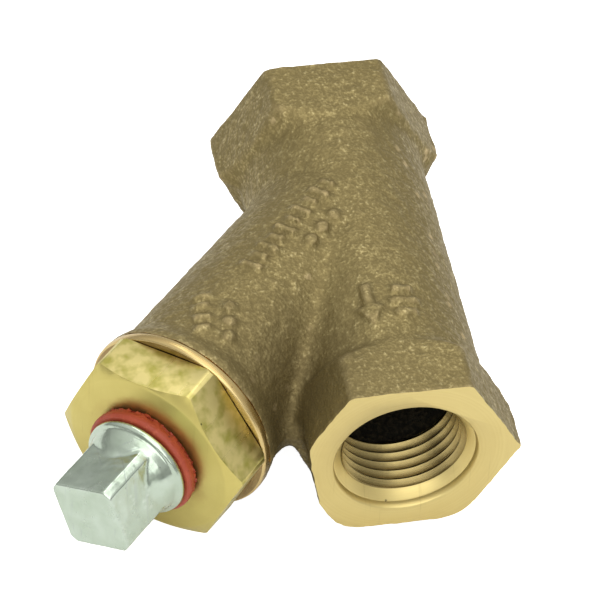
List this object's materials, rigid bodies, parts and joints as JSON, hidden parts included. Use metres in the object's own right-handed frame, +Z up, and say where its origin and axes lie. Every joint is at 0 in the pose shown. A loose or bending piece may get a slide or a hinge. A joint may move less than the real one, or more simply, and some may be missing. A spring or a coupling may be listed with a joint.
{
  "type": "y strainer",
  "caption": "Threaded Y-pattern pipe strainer with hexagon ends, a screen in its slanting branch, a hexagon retainer cap and a square-head blow-off plug.",
  "frame": {"origin": "on the run axis at the mouth of the inlet thread, 1.3 mm inside the inlet face", "axes": "+X along the run in the direction of flow, +Z up and square to the plane of the Y, the branch slants 43 degrees off the run towards -Y and the outlet"},
  "size_m": [0.0808, 0.0712, 0.0312],
  "materials": {
    "cast_bronze": "sand-cast skin, turned bright at the ends and threads",
    "gasket_white": "waxy white fluoropolymer",
    "yellow_brass": "turned face, drawn flats",
    "zinc_plate": "bright zinc plate on forged steel",
    "red_sealant": "set thread sealant, torn at the cap",
    "stainless_screen": "woven stainless wire",
    "stainless_band": "rolled stainless strip"
  },
  "bodies": {
    "casting": {"body": "cast_bronze"},
    "gasket": {"cap_gasket": "gasket_white"},
    "screen": {"screen_mesh": "stainless_screen", "screen_upper_collar": "stainless_band", "screen_lower_collar": "stainless_band", "screen_seam": "stainless_band"},
    "cap": {"retainer_cap": "yellow_brass"},
    "sealant": {"thread_sealant": "red_sealant"},
    "plug": {"blow_off_plug": "zinc_plate"}
  },
  "joints": [
    {"name": "cap_withdraw", "type": "slide", "parent": "casting", "child": "gasket", "axis": [0.7314, -0.682, 0], "range_m": [0, 0.04]},
    {"name": "cap_travel", "type": "slide", "parent": "gasket", "child": "screen", "axis": [0.7314, -0.682, 0], "range_m": [0, 0.0091]},
    {"name": "cap_turn", "type": "hinge", "parent": "screen", "child": "cap", "pos_m": [0.0228, 0, 0], "axis": [0.7314, -0.682, 0], "range_deg": [0, 1800]},
    {"name": "plug_travel", "type": "slide", "parent": "cap", "child": "sealant", "axis": [0.7314, -0.682, 0], "range_m": [0, 0.0085]},
    {"name": "plug_turn", "type": "hinge", "parent": "sealant", "child": "plug", "pos_m": [0.0228, 0, 0], "axis": [0.7314, -0.682, 0], "range_deg": [0, 2160]}
  ],
  "couplings": [
    {"joint": "cap_travel", "follows": "cap_turn", "m_per_rad": 0.00028871},
    {"joint": "plug_travel", "follows": "plug_turn", "m_per_rad": 0.00022457}
  ]
}
